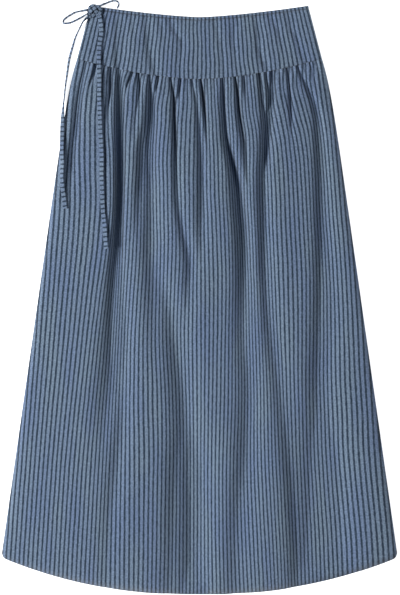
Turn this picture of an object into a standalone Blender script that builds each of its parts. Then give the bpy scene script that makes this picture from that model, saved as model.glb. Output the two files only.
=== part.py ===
"""Maxi skirt laid out flat, front up: a long striped skirt gathered onto a shaped yoke,
with a narrow waist casing and a cord tied in a bow at the left waist corner.

Metres, +Z up. The back lies on the surface at z = 0, the waist points to +Y and the
hem to -Y, and the origin is the middle of the outline on that surface.
"""

import math
import random
from collections import namedtuple

import bpy
import numpy as np

COLLECTION = "maxi_skirt"
MM = 0.001

# Cloth wall, and the gap that touching pieces keep
WALL = 0.0012
GAP = 0.0003

# Outline, as half widths about the middle line and heights of the three cross lines
WAIST_HALF = 0.1735
WAIST_MIDDLE = 0.4520
WAIST_RISE = 0.0185
WAIST_POWER = 1.4
YOKE_END = 0.3855
YOKE_HALF = 0.1957
YOKE_RISE = 0.0335
YOKE_POWER = 1.7
HEM_MIDDLE = -0.4705
HEM_RISE = 0.0590
HEM_POWER = 2.2
HEM_CORNER = 0.007
CASING_WIDTH = 0.0045
CASING_SWELL = 0.0012

# Side seams: a straight flare, drawn in a little just under the yoke
FLARE = 0.1425
FLARE_HALF_AT_YOKE = YOKE_HALF + 0.0077
PINCH = FLARE_HALF_AT_YOKE - YOKE_HALF
PINCH_LENGTH = 0.042

# Loft of the front above the back: height of the cloth's outer face between the folds, a step
# up at each side and a dome between, lower again at the hem
EDGE_HEIGHT = 2 * WALL + GAP
SIDE_ROLL = 0.004
SIDE_STEP = 0.3
DOME_POWER = 2.8
HEM_STEP = 0.3
HEM_ROLL = 0.022
LoftRow = namedtuple("LoftRow", "y height")
LOFT = (
    LoftRow(470, 3.4),
    LoftRow(430, 6.0),
    LoftRow(372, 9.5),
    LoftRow(330, 15.0),
    LoftRow(240, 21.0),
    LoftRow(120, 22.0),
    LoftRow(0, 19.0),
    LoftRow(-160, 21.0),
    LoftRow(-320, 25.0),
    LoftRow(-475, 20.0),
)

# Folds of the front skirt, in millimetres: height on the skirt, place of the shaded left
# bank, depth of the trough, and the reach of its left and right banks
FoldRow = namedtuple("FoldRow", "y x depth left right")
SKIRT_FOLDS = {
    "left_outer": (
        FoldRow(377, -182, 3, 2, 2),
        FoldRow(344, -190, 11, 4, 3),
        FoldRow(310, -195, 14, 5, 4),
        FoldRow(275, -199, 12, 6, 5),
        FoldRow(240, -205, 9, 6, 6),
        FoldRow(200, -208, 6, 7, 8),
        FoldRow(160, -212, 0, 7, 8),
    ),
    "left_side_short": (
        FoldRow(372, -166, 4, 2.5, 2),
        FoldRow(360, -170, 5, 3, 2),
        FoldRow(333, -180, 0, 3, 2),
    ),
    "left_thin": (
        FoldRow(372, -142, 6, 2.5, 2),
        FoldRow(356, -143, 9, 3, 2),
        FoldRow(330, -144, 8, 3, 2),
        FoldRow(300, -148, 4, 3, 3),
        FoldRow(206, -153, 0, 5, 4),
    ),
    "left_deep": (
        FoldRow(369, -129, 9, 3, 3),
        FoldRow(352, -131, 20, 4.5, 5),
        FoldRow(320, -131, 24, 6, 7),
        FoldRow(256, -131, 24, 6.5, 7),
        FoldRow(192, -131, 24, 6.5, 7),
        FoldRow(128, -133, 24, 6.5, 7),
        FoldRow(64, -137, 22, 8, 9),
        FoldRow(0, -140, 17, 11, 12),
        FoldRow(-64, -144, 13, 16, 16),
        FoldRow(-128, -152, 9, 17, 18),
        FoldRow(-208, -160, 4, 16, 14),
        FoldRow(-280, -166, 0, 14, 14),
    ),
    "left_deep_roll": (
        FoldRow(300, -130, 0, 8, 9),
        FoldRow(200, -130, 3, 9, 13),
        FoldRow(100, -132, 5, 12, 16),
        FoldRow(0, -136, 8, 20, 20),
        FoldRow(-96, -143, 6, 22, 20),
        FoldRow(-220, -165, 0, 20, 18),
    ),
    "beside_deep": (
        FoldRow(364, -108, 5, 2, 3),
        FoldRow(352, -113, 6, 2.5, 3),
        FoldRow(331, -120, 2.5, 2.5, 3),
        FoldRow(310, -125, 0, 2, 3),
    ),
    "inner_short": (
        FoldRow(359, -98, 6, 2.5, 2.5),
        FoldRow(345, -97, 9, 3, 2.5),
        FoldRow(318, -99, 5, 3, 3),
        FoldRow(291, -103, 3.5, 3, 3),
        FoldRow(252, -107, 0, 3, 3),
    ),
    "inner_left": (
        FoldRow(280, -92, 0, 3, 3),
        FoldRow(240, -96, 8, 6, 6),
        FoldRow(200, -98, 9, 7, 9),
        FoldRow(160, -100, 7, 8, 10),
        FoldRow(88, -103, 0, 8, 10),
    ),
    "inner_hollow": (
        FoldRow(340, -79, 0, 6, 3),
        FoldRow(287, -81, 7, 9, 4),
        FoldRow(216, -82, 5, 11, 6),
        FoldRow(88, -82, 0, 12, 8),
    ),
    "left_inner": (
        FoldRow(356, -80, 6, 2.5, 2.5),
        FoldRow(336, -81, 11, 4, 5),
        FoldRow(300, -81, 15, 7, 8),
        FoldRow(256, -84, 15, 10, 10),
        FoldRow(200, -85, 14, 12, 13),
        FoldRow(128, -84, 13, 14, 16),
        FoldRow(64, -84, 11, 15, 18),
        FoldRow(0, -82, 8, 15, 18),
        FoldRow(-56, -80, 4, 14, 16),
        FoldRow(-130, -78, 0, 12, 12),
    ),
    "inner_right": (
        FoldRow(351, -67, 6, 2, 2.5),
        FoldRow(326, -73, 8, 3.5, 3),
        FoldRow(280, -78, 7, 4, 4),
        FoldRow(231, -81, 4, 5, 5),
        FoldRow(183, -81, 0, 5, 5),
    ),
    "middle_left": (
        FoldRow(352, -47, 5, 2.5, 2.5),
        FoldRow(325, -43, 11, 3, 3),
        FoldRow(290, -42, 14, 4, 3),
        FoldRow(250, -41, 12, 4.5, 4),
        FoldRow(200, -40, 9, 5, 6),
        FoldRow(150, -37, 8, 6, 8),
        FoldRow(110, -30, 8, 7, 9),
        FoldRow(64, -20, 8, 8, 11),
        FoldRow(0, -23, 5, 9, 12),
        FoldRow(-72, -28, 0, 9, 12),
    ),
    "middle_short": (
        FoldRow(350, -31, 6, 2.5, 2),
        FoldRow(338, -33, 7, 3, 2),
        FoldRow(309, -36, 0, 2.5, 2.5),
    ),
    "middle": (
        FoldRow(349, -14, 3, 2.5, 2.5),
        FoldRow(325, -8, 5, 4, 4),
        FoldRow(288, -4, 7, 5, 4),
        FoldRow(240, -1, 9, 6, 6),
        FoldRow(192, 0, 10, 7, 7),
        FoldRow(140, 0, 9, 8, 9),
        FoldRow(90, -1, 5, 8, 10),
        FoldRow(24, -2, 0, 8, 10),
    ),
    "middle_right": (
        FoldRow(352, 1, 6, 2, 2),
        FoldRow(336, 3, 12, 3, 2),
        FoldRow(305, 6, 13, 3.5, 2.5),
        FoldRow(279, 8, 9, 4, 3),
        FoldRow(224, 14, 0, 3, 3),
    ),
    "right_deep": (
        FoldRow(351, 36, 5, 3, 2.5),
        FoldRow(325, 36, 10, 4.5, 3.5),
        FoldRow(290, 37, 12, 6, 4.5),
        FoldRow(256, 40, 14, 7, 5),
        FoldRow(224, 47, 17, 8, 6),
        FoldRow(192, 54, 21, 10, 7),
        FoldRow(144, 60, 23, 12, 8),
        FoldRow(96, 64, 22, 12, 9),
        FoldRow(48, 65, 18, 13, 10),
        FoldRow(0, 64, 14, 14, 14),
        FoldRow(-64, 63, 9, 14, 16),
        FoldRow(-128, 70, 9, 16, 18),
        FoldRow(-192, 68, 11, 17, 20),
        FoldRow(-256, 64, 12, 18, 24),
        FoldRow(-320, 55, 11, 18, 28),
        FoldRow(-384, 50, 9, 18, 28),
        FoldRow(-474, 48, 5, 18, 28),
    ),
    "right_branch": (
        FoldRow(354, 56, 7, 2.5, 2),
        FoldRow(330, 59, 12, 3.5, 2.5),
        FoldRow(300, 61, 13, 4.5, 3),
        FoldRow(268, 66, 10, 5, 3.5),
        FoldRow(236, 71, 7, 5, 4),
        FoldRow(200, 74, 4, 5, 4),
        FoldRow(160, 76, 0, 5, 4),
    ),
    "right_patch": (
        FoldRow(355, 70, 5, 4, 3),
        FoldRow(340, 71, 5, 4, 3),
        FoldRow(314, 74, 0, 4, 3),
    ),
    "right_inner_left": (
        FoldRow(359, 94, 6, 3, 2.5),
        FoldRow(322, 97, 8, 4, 3),
        FoldRow(280, 101, 10, 5, 5),
        FoldRow(230, 99, 12, 7, 7),
        FoldRow(192, 97, 13, 8, 9),
        FoldRow(128, 98, 13, 9, 11),
        FoldRow(64, 99, 12, 10, 14),
        FoldRow(0, 102, 10, 11, 17),
        FoldRow(-64, 109, 8, 12, 20),
        FoldRow(-128, 119, 7, 13, 24),
        FoldRow(-192, 129, 8, 14, 36),
        FoldRow(-256, 138, 10, 14, 46),
        FoldRow(-320, 144, 10, 14, 50),
        FoldRow(-384, 148, 9, 14, 50),
        FoldRow(-474, 150, 7, 14, 44),
    ),
    "right_inner": (
        FoldRow(365, 114, 9, 3, 2),
        FoldRow(345, 114, 14, 5, 3),
        FoldRow(320, 113, 16, 6.5, 4.5),
        FoldRow(290, 110, 14, 8, 6),
        FoldRow(253, 106, 9, 8, 8),
        FoldRow(213, 104, 0, 8, 8),
    ),
    "right_inner_mid": (
        FoldRow(356, 105, 5, 2.5, 2.5),
        FoldRow(320, 108, 9, 3.5, 3.5),
        FoldRow(280, 106, 10, 4, 4),
        FoldRow(240, 105, 7, 4, 5),
        FoldRow(196, 105, 0, 4, 5),
    ),
    "right_mid_thin": (
        FoldRow(367, 139, 4, 3, 2.5),
        FoldRow(340, 142, 6, 3, 2),
        FoldRow(305, 144, 7, 3.5, 2.5),
        FoldRow(280, 145, 4, 3.5, 2.5),
        FoldRow(253, 147, 0, 3, 2),
    ),
    "right_outer": (
        FoldRow(371, 156, 4, 2.5, 2),
        FoldRow(350, 166, 10, 4, 2.5),
        FoldRow(330, 175, 11, 6, 3),
        FoldRow(304, 184, 11, 7, 5),
        FoldRow(270, 187, 12, 8, 7),
        FoldRow(224, 189, 13, 9, 10),
        FoldRow(160, 190, 14, 10, 13),
        FoldRow(96, 191, 14, 11, 17),
        FoldRow(32, 191, 14, 13, 22),
        FoldRow(-32, 189, 14, 15, 26),
        FoldRow(-80, 186, 14, 17, 26),
        FoldRow(-128, 182, 14, 19, 26),
        FoldRow(-176, 180, 15, 22, 30),
        FoldRow(-224, 180, 18, 26, 36),
        FoldRow(-272, 181, 20, 30, 40),
        FoldRow(-320, 181, 20, 32, 42),
        FoldRow(-384, 179, 19, 31, 42),
        FoldRow(-474, 178, 13, 28, 40),
    ),
    "left_low": (
        FoldRow(8, -121, 0, 8, 8),
        FoldRow(-56, -126, 6, 11, 12),
        FoldRow(-128, -129, 8, 13, 14),
        FoldRow(-192, -131, 9, 14, 14),
        FoldRow(-256, -137, 8, 14, 14),
        FoldRow(-320, -146, 6, 14, 14),
        FoldRow(-384, -151, 4, 14, 14),
        FoldRow(-474, -154, 1, 12, 12),
    ),
    "inner_deep_low": (
        FoldRow(64, -76, 0, 12, 12),
        FoldRow(0, -59, 10, 15, 20),
        FoldRow(-64, -49, 14, 18, 24),
        FoldRow(-128, -39, 15, 20, 24),
        FoldRow(-192, -33, 15, 20, 22),
        FoldRow(-256, -44, 11, 18, 40),
        FoldRow(-320, -48, 10, 16, 46),
        FoldRow(-384, -50, 8, 16, 46),
        FoldRow(-474, -54, 6, 16, 40),
    ),
    "inner_low": (
        FoldRow(-190, -16, 0, 12, 20),
        FoldRow(-230, -18, 12, 16, 26),
        FoldRow(-264, -18, 18, 20, 28),
        FoldRow(-320, -18, 19, 20, 28),
        FoldRow(-384, -19, 18, 20, 28),
        FoldRow(-474, -21, 12, 18, 26),
    ),
}
YOKE_FOLDS = {
    "over_left_deep": (
        FoldRow(452, -132, 3, 5, 8),
        FoldRow(429, -130, 6.5, 6, 9),
        FoldRow(403, -132, 7, 6, 10),
        FoldRow(375, -132, 7, 6, 10),
    ),
    "over_left_thin": (
        FoldRow(450, -110, 1.5, 4, 4),
        FoldRow(438, -109, 1.5, 4, 4),
        FoldRow(415, -106, 0, 4, 4),
    ),
    "over_left_inner": (
        FoldRow(450, -87, 2, 5, 6),
        FoldRow(429, -85, 4.5, 6, 8),
        FoldRow(403, -84, 4.5, 6, 8),
        FoldRow(385, -80, 4, 7, 8),
        FoldRow(366, -75, 3, 7, 8),
    ),
    "over_left_short": (
        FoldRow(448, -66, 1.2, 4, 4),
        FoldRow(429, -61, 1.2, 4, 4),
        FoldRow(410, -60, 0, 4, 4),
    ),
    "over_middle": (
        FoldRow(448, -48, 2, 5, 5),
        FoldRow(433, -44, 3.4, 5, 6),
        FoldRow(412, -31, 3.2, 6, 7),
        FoldRow(390, -35, 2, 7, 7),
        FoldRow(365, -36, 0.8, 8, 8),
    ),
    "over_middle_right": (
        FoldRow(446, 22, 1.8, 5, 5),
        FoldRow(425, 27, 2, 5, 5),
        FoldRow(400, 33, 1.4, 6, 6),
        FoldRow(378, 34, 1.6, 5, 5),
        FoldRow(360, 36, 0.6, 6, 6),
    ),
    "over_right_deep": (
        FoldRow(446, 56, 1.2, 6, 5),
        FoldRow(425, 51, 2.6, 6, 5),
        FoldRow(403, 52, 2.4, 6, 6),
        FoldRow(378, 54, 1.2, 7, 7),
        FoldRow(365, 58, 0.6, 8, 8),
    ),
    "over_right_inner": (
        FoldRow(450, 88, 2, 5, 6),
        FoldRow(429, 92, 4.2, 6, 7),
        FoldRow(403, 92, 4.2, 6, 7),
        FoldRow(378, 100, 3.4, 6, 7),
        FoldRow(366, 104, 2, 7, 7),
    ),
    "over_right_thin": (
        FoldRow(455, 110, 1.4, 5, 4),
        FoldRow(429, 124, 2, 5, 5),
        FoldRow(403, 129, 1, 6, 6),
        FoldRow(385, 130, 0, 6, 6),
    ),
    "over_right_outer": (
        FoldRow(455, 141, 1.5, 5, 5),
        FoldRow(432, 146, 2.4, 5, 5),
        FoldRow(410, 156, 2.2, 6, 6),
        FoldRow(390, 161, 1.8, 7, 7),
        FoldRow(372, 174, 2, 6, 6),
    ),
}
FOLD_POWER = 1.8
FOLD_CRISP = 2.4
FOLD_NARROW = 0.005
FOLD_WIDE = 0.009
FOLD_DEEP = 0.014
FOLD_LEAN = 0.6
FOLD_REACH_LEAST = 0.0048

# Gathers between the folds: places along the yoke seam, in millimetres
GATHERS = (
    -182, -174, -165, -152, -142, -132, -121, -109, -98, -88, -81, -67, -57, -46, -31, -20, -12, 1,
    13, 24, 36, 46, 56, 70, 81, 94, 105, 115, 127, 139, 148, 156, 167, 177, 186,
)
GATHER_DEPTH = 0.0022
GATHER_REACH = 0.0028
GATHER_FADE = 0.022
GATHER_PUFF = 0.0012
GATHER_SEED = 7

# Small ripples of the yoke, drawn up by the cord
RIPPLES = 28
RIPPLE_DEPTH = 0.0007
RIPPLE_FADE = 0.012

# Grids of the panels
GATHER_STEPS = 4
SKIRT_ROWS = 16
SKIRT_ROW_POWER = 1.6
RIPPLE_STEPS = 2
YOKE_ROWS = 7
CASING_ROWS = 3
BACK_COLUMNS = 24
BACK_ROWS = 10

# Tie: a flat cord cut across the stripes
TIE_WIDTH = 0.007
TIE_THICKNESS = 0.0020
TIE_STEP = 0.015
LOOP_STEP = 0.0055
ROUTE_PROBES = 4
KNOT_CENTRE = (-0.1672, 0.4608)
KNOT_HALF = (0.0095, 0.0090, 0.0050)

# Routes of the tie, in millimetres: place, and turn of the flat cord about its own
# line in degrees, 0 on edge and 90 flat
RouteRow = namedtuple("RouteRow", "x y turn")
LOOP_LEFT = (
    RouteRow(-176.8, 462.8, 15),
    RouteRow(-189, 461.6, 0),
    RouteRow(-198, 459.8, 0),
    RouteRow(-205, 456.2, 0),
    RouteRow(-212, 451.8, 0),
    RouteRow(-217.5, 446.2, 0),
    RouteRow(-217.9, 442.6, 0),
    RouteRow(-213, 441.6, 0),
    RouteRow(-205, 443.5, 0),
    RouteRow(-197.5, 447.0, 0),
    RouteRow(-189, 451.6, 0),
    RouteRow(-177.0, 458.2, 15),
)
LOOP_RIGHT = (
    RouteRow(-160.3, 467.8, 0),
    RouteRow(-154.5, 471.6, 0),
    RouteRow(-148.5, 474.6, 0),
    RouteRow(-142.5, 476.9, 0),
    RouteRow(-136.8, 478.2, 0),
    RouteRow(-131.8, 477.2, 0),
    RouteRow(-129.0, 474.0, 0),
    RouteRow(-129.4, 470.2, 0),
    RouteRow(-132.0, 466.4, 0),
)
TAIL_LEFT = (
    RouteRow(-175.2, 454.3, 20),
    RouteRow(-185.9, 444, 0),
    RouteRow(-190.2, 436.5, 0),
    RouteRow(-194.6, 428, -10),
    RouteRow(-198.2, 420, -15),
    RouteRow(-202.2, 406.7, -20),
    RouteRow(-208.3, 384, -25),
    RouteRow(-211.5, 362.4, -20),
    RouteRow(-214.7, 338.9, -10),
    RouteRow(-216.8, 316, -10),
    RouteRow(-218.4, 289.6, -50),
    RouteRow(-219.0, 262.4, -85),
    RouteRow(-219.2, 240, -65),
    RouteRow(-218.2, 214.4, -50),
    RouteRow(-219.0, 198.4, -50),
    RouteRow(-218.4, 182.4, -70),
    RouteRow(-216.0, 165, -85),
    RouteRow(-213.6, 145.6, -85),
)
TAIL_RIGHT = (
    RouteRow(-159.2, 451.5, -75),
    RouteRow(-156.9, 436, -82),
    RouteRow(-156.6, 425.6, -85),
    RouteRow(-159.0, 411.2, -88),
    RouteRow(-160.3, 392, -88),
    RouteRow(-160.0, 371.2, -84),
    RouteRow(-159.2, 352, -75),
    RouteRow(-159.4, 329.6, -72),
    RouteRow(-158.6, 300.8, -75),
    RouteRow(-157.8, 276, -86),
    RouteRow(-156.2, 248, -84),
    RouteRow(-155.1, 224, -76),
    RouteRow(-155.4, 200, -76),
    RouteRow(-154.5, 172, -84),
    RouteRow(-153.0, 140, -84),
    RouteRow(-150.0, 112, -74),
    RouteRow(-148.8, 92, -68),
    RouteRow(-147.8, 81.6, -68),
)

# Finish
CLOTH_COLOUR = (0.105, 0.150, 0.215, 1.0)
TIE_COLOUR = (0.115, 0.160, 0.225, 1.0)
CLOTH_ROUGHNESS = 0.85


def clear_scene():
    for thing in list(bpy.data.objects):
        bpy.data.objects.remove(thing, do_unlink=True)


def material(name, colour):
    made = bpy.data.materials.new(name)
    made.use_nodes = True
    shader = made.node_tree.nodes["Principled BSDF"]
    shader.inputs["Base Color"].default_value = colour
    shader.inputs["Roughness"].default_value = CLOTH_ROUGHNESS
    shader.inputs["Metallic"].default_value = 0.0
    return made


def smooth_read(at, keys, values):
    """Read a smooth curve through (keys, values), keys rising, held level past its ends."""
    keys = np.asarray(keys, dtype=float)
    values = np.asarray(values, dtype=float)
    slopes = np.gradient(values, keys)
    at = np.clip(at, keys[0], keys[-1])
    span = np.clip(np.searchsorted(keys, at, side="right") - 1, 0, len(keys) - 2)
    width = keys[span + 1] - keys[span]
    t = (at - keys[span]) / width
    rise = t * t * (3 - 2 * t)
    lead = t * (1 - t) ** 2 * slopes[span] * width
    trail = t * t * (1 - t) * slopes[span + 1] * width
    return values[span] * (1 - rise) + values[span + 1] * rise + lead - trail


def waist_line(x):
    return WAIST_MIDDLE + WAIST_RISE * np.abs(x / WAIST_HALF) ** WAIST_POWER


def yoke_line(x):
    return YOKE_END - YOKE_RISE * (1 - np.abs(x / YOKE_HALF) ** YOKE_POWER)


def side_half(y):
    """Half width of the outline at a height of its side edge."""
    waist_end = WAIST_MIDDLE + WAIST_RISE
    part = np.clip((waist_end - y) / (waist_end - YOKE_END), 0, 1)
    yoke = WAIST_HALF + (YOKE_HALF - WAIST_HALF) * part
    drop = np.maximum(YOKE_END - y, 0)
    skirt = FLARE_HALF_AT_YOKE + FLARE * drop - PINCH * np.exp(-drop / PINCH_LENGTH)
    return np.where(y > YOKE_END, yoke, skirt)


HEM_END = HEM_MIDDLE + HEM_RISE
HEM_HALF = float(side_half(np.array(HEM_END)))


def hem_line(x):
    line = HEM_MIDDLE + HEM_RISE * np.abs(x / HEM_HALF) ** HEM_POWER
    past = np.clip(np.abs(x) - (HEM_HALF - HEM_CORNER), 0, HEM_CORNER)
    return line + HEM_CORNER - np.sqrt(HEM_CORNER ** 2 - past ** 2)


def skirt_place(u, v):
    """Place on the skirt and half width there: u -1 to 1 across, v 0 at the yoke to 1 at the hem."""
    edge_y = YOKE_END + (HEM_END + HEM_CORNER - YOKE_END) * v
    half = side_half(edge_y)
    top = yoke_line(u * YOKE_HALF) - GAP / 2
    return u * half, top + (hem_line(u * HEM_HALF) - top) * v, half


def yoke_place(u, v):
    """Place on the yoke and half width there, v from 0 under the casing to 1 at the yoke seam."""
    edge_y = WAIST_MIDDLE + WAIST_RISE - CASING_WIDTH - GAP
    edge_y = edge_y + (YOKE_END - edge_y) * v
    half = side_half(edge_y)
    top = waist_line(u * WAIST_HALF) - CASING_WIDTH - GAP
    return u * half, top + (yoke_line(u * YOKE_HALF) + GAP / 2 - top) * v, half


def casing_place(u, v):
    """Place on the casing and half width there, v from 0 at the waist edge to 1 beside the yoke."""
    half = side_half(WAIST_MIDDLE + WAIST_RISE - CASING_WIDTH * v)
    return u * half, waist_line(u * WAIST_HALF) - CASING_WIDTH * v, half


def trough(x, y, rows):
    """Depth of one fold at a place. A narrow deep one has steep banks and a flat bottom."""
    rows = sorted(rows)
    keys = [row.y * MM for row in rows]
    middle, depth, left, right = (smooth_read(y, keys, [row[k] * MM for row in rows]) for k in range(1, 5))
    ends = np.clip((keys[-1] - y) / (20 * MM) + 1, 0, 1) * np.clip((y - keys[0]) / (20 * MM) + 1, 0, 1)
    depth = np.maximum(depth, 0) * ends
    away = x - middle - FOLD_LEAN * left
    narrow = np.clip((FOLD_WIDE - (left + right) / 2) / (FOLD_WIDE - FOLD_NARROW), 0, 1)
    deep = np.clip((depth - FOLD_DEEP) / FOLD_NARROW, 0, 1)
    power = FOLD_POWER + FOLD_CRISP * narrow * deep
    reach = np.maximum(np.where(away < 0, left, right), FOLD_REACH_LEAST)
    return depth * np.exp(-np.abs(away / reach) ** power)


def loft(x, y, half):
    """Outer face of the front between its folds: a low dome that falls to the back at its edges."""
    rows = sorted(LOFT)
    height = smooth_read(y, [row.y * MM for row in rows], [row.height * MM for row in rows])
    inward = np.maximum(half - np.abs(x), 0)
    near = SIDE_STEP * (1 - np.exp(-inward / SIDE_ROLL))
    dome = (1 - SIDE_STEP) * (1 - np.minimum(np.abs(x) / half, 1) ** DOME_POWER)
    upward = np.maximum(y - hem_line(np.clip(x, -HEM_HALF, HEM_HALF)), 0)
    hem = HEM_STEP + (1 - HEM_STEP) * (1 - np.exp(-upward / HEM_ROLL))
    return EDGE_HEIGHT + (height - EDGE_HEIGHT) * (near + dome) * hem


def settle(height):
    """Keep the outer face above the back: folds that would reach it lie on it."""
    floor = EDGE_HEIGHT
    softness = 0.0012
    over = (height - floor) / softness
    return floor + softness * np.logaddexp(0, over) - softness * math.log(2) * np.exp(-np.abs(over))


def gather_rows():
    """Each gather's place as u, its depth and its length down the skirt."""
    draw = random.Random(GATHER_SEED)
    rows = []
    for place in GATHERS:
        depth = GATHER_DEPTH * draw.uniform(0.6, 1.3)
        fade = GATHER_FADE * draw.uniform(0.6, 1.7)
        rows.append((place * MM / YOKE_HALF, depth, fade))
    return rows


GATHER_ROWS = gather_rows()


def gathers(u, drop):
    """Relief of the gathers: a narrow trough at each, puffed between them, fading downwards."""
    relief = GATHER_PUFF * (1 - np.exp(-drop / 0.004)) * np.exp(-drop / 0.02)
    for place, depth, fade in GATHER_ROWS:
        away = (u - place) * YOKE_HALF / GATHER_REACH
        relief = relief - depth * np.exp(-drop / fade) * np.exp(-away ** 2)
    return relief


def skirt_height(x, y, half):
    """Outer face of the front skirt, in metres above the surface."""
    drop = np.maximum(yoke_line(x / half * YOKE_HALF) - y, 0)
    height = loft(x, y, half) + gathers(x / half, drop)
    for rows in SKIRT_FOLDS.values():
        height = height - trough(x, y, rows)
    edge = np.clip((half - np.abs(x)) / 0.004, 0, 1)
    return EDGE_HEIGHT + (settle(height) - EDGE_HEIGHT) * edge


def yoke_height(x, y, half):
    """Outer face of the front yoke."""
    drop = np.maximum(waist_line(x) - y, 0)
    wave = 0.5 + 0.5 * np.cos(math.pi * RIPPLES * (x / half + 1))
    height = loft(x, y, half) - RIPPLE_DEPTH * wave * np.exp(-drop / RIPPLE_FADE)
    for rows in YOKE_FOLDS.values():
        height = height - trough(x, y, rows)
    edge = np.clip((half - np.abs(x)) / 0.004, 0, 1)
    return EDGE_HEIGHT + (settle(height) - EDGE_HEIGHT) * edge


def casing_height(x, y, half):
    """Outer face of the narrow turned strip on the waist edge, rounded by the cord inside it."""
    across = np.clip((waist_line(x) - y) / CASING_WIDTH, 0, 1)
    return loft(x, y, half) + CASING_SWELL * np.sin(math.pi * across)


def sheet(name, points, finish):
    """A panel: an open grid through rows of points, outer face up, thickened downwards."""
    rows, columns, _ = points.shape
    faces = []
    for r in range(rows - 1):
        for c in range(columns - 1):
            a = r * columns + c
            faces.append((a, a + columns, a + columns + 1, a + 1))
    mesh = bpy.data.meshes.new(name)
    mesh.from_pydata([tuple(p) for p in points.reshape(-1, 3)], [], faces)
    mesh.materials.append(finish)
    panel = bpy.data.objects.new(name, mesh)
    bpy.data.collections[COLLECTION].objects.link(panel)
    wall = panel.modifiers.new("wall", "SOLIDIFY")
    wall.thickness = WALL
    wall.offset = -1.0
    return panel


def front_panel(name, place, height, columns, rows, finish):
    u, v = np.meshgrid(columns, rows)
    x, y, half = place(u, v)
    return sheet(name, np.dstack((x, y, height(x, y, half))), finish)


def front_skirt(finish):
    places = [-1.0] + [place for place, _, _ in GATHER_ROWS] + [1.0]
    steps = np.arange((len(places) - 1) * GATHER_STEPS + 1) / GATHER_STEPS
    columns = np.interp(steps, np.arange(len(places)), places)
    rows = (np.arange(SKIRT_ROWS + 1) / SKIRT_ROWS) ** SKIRT_ROW_POWER
    return front_panel("front_skirt", skirt_place, skirt_height, columns, rows, finish)


def front_yoke(finish):
    columns = np.linspace(-1, 1, RIPPLES * RIPPLE_STEPS + 1)
    rows = np.linspace(0, 1, YOKE_ROWS + 1)
    return front_panel("front_yoke", yoke_place, yoke_height, columns, rows, finish)


def front_casing(finish):
    columns = np.linspace(-1, 1, RIPPLES * RIPPLE_STEPS + 1)
    rows = np.linspace(0, 1, CASING_ROWS + 1)
    return front_panel("front_casing", casing_place, casing_height, columns, rows, finish)


def back_panel(name, place, columns, rows, finish):
    """A back piece: flat, with its inner face one wall above the surface."""
    u, v = np.meshgrid(np.linspace(-1, 1, columns + 1), np.linspace(0, 1, rows + 1))
    x, y, _ = place(u, v)
    return sheet(name, np.dstack((x, y, np.full_like(x, WALL))), finish)


def front_top(x, y):
    """Outer face of whatever front piece lies at a place, or the surface beside the skirt."""
    x, y = np.array(x), np.array(y)
    half = side_half(y)
    if abs(x) > half or y > waist_line(x):
        return 0.0
    if y > waist_line(x) - CASING_WIDTH:
        return float(casing_height(x, y, half))
    if y > yoke_line(x):
        return float(yoke_height(x, y, half))
    return float(skirt_height(x, y, half))


def rest_height(x, y, reach):
    """Highest point under a patch of the tie."""
    around = (-reach, 0, reach)
    return max(front_top(x + dx, y + dy) for dx in around for dy in around)


def highest_near(heights, reach):
    """Each value raised to the highest within so many places of it."""
    padded = np.pad(heights, reach, mode="edge")
    return np.array([padded[k:k + 2 * reach + 1].max() for k in range(len(heights))])


def route_points(rows, step):
    """Even points on a smooth curve through the route, with height and turn."""
    plan = np.array([(row.x * MM, row.y * MM) for row in rows])
    along = np.concatenate(([0], np.cumsum(np.hypot(*np.diff(plan, axis=0).T))))
    count = max(int(round(along[-1] / step)), 4)
    at = np.linspace(0, along[-1], count * ROUTE_PROBES + 1)
    x = smooth_read(at, along, plan[:, 0])
    y = smooth_read(at, along, plan[:, 1])
    turn = np.radians(smooth_read(at, along, [row.turn for row in rows]))
    tall = TIE_WIDTH / 2 * np.abs(np.cos(turn)) + TIE_THICKNESS / 2 * np.abs(np.sin(turn))
    wide = TIE_WIDTH / 2 * np.abs(np.sin(turn)) + TIE_THICKNESS / 2 * np.abs(np.cos(turn))
    lift = np.array([rest_height(*spot) for spot in zip(x, y, wide)]) + tall
    z = highest_near(lift, ROUTE_PROBES) + GAP
    return tuple(values[::ROUTE_PROBES] for values in (x, y, z, turn))


def flat_cord(name, rows, step, finish):
    x, y, z, turn = route_points(rows, step)
    curve = bpy.data.curves.new(name, "CURVE")
    curve.dimensions = "3D"
    curve.twist_mode = "Z_UP"
    curve.bevel_depth = TIE_THICKNESS / 2
    curve.extrude = (TIE_WIDTH - TIE_THICKNESS) / 2
    curve.bevel_resolution = 1
    curve.use_fill_caps = True
    spline = curve.splines.new("POLY")
    spline.points.add(len(x) - 1)
    for point, px, py, pz, angle in zip(spline.points, x, y, z, turn):
        point.co = (px, py, pz, 1.0)
        point.tilt = angle
    curve.materials.append(finish)
    cord = bpy.data.objects.new(name, curve)
    bpy.data.collections[COLLECTION].objects.link(cord)
    return cord


def knot(finish):
    """The bow's knot: two rounded lobes with a dip between, resting on the waist corner."""
    bpy.ops.mesh.primitive_uv_sphere_add(segments=20, ring_count=12, radius=1.0)
    lump = bpy.context.active_object
    lump.name = "tie_knot"
    lump.data.name = "tie_knot"
    base = rest_height(*KNOT_CENTRE, KNOT_HALF[0] * 0.6)
    for vertex in lump.data.vertices:
        across, along, up = vertex.co
        pinch = 1 - 0.22 * math.exp(-(along / 0.28) ** 2)
        vertex.co = (
            KNOT_CENTRE[0] + KNOT_HALF[0] * across * pinch,
            KNOT_CENTRE[1] + KNOT_HALF[1] * along,
            base + KNOT_HALF[2] * (1 + up * pinch),
        )
    lump.data.materials.append(finish)
    lump.data.shade_smooth()
    for owner in list(lump.users_collection):
        owner.objects.unlink(lump)
    bpy.data.collections[COLLECTION].objects.link(lump)
    return lump


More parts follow.
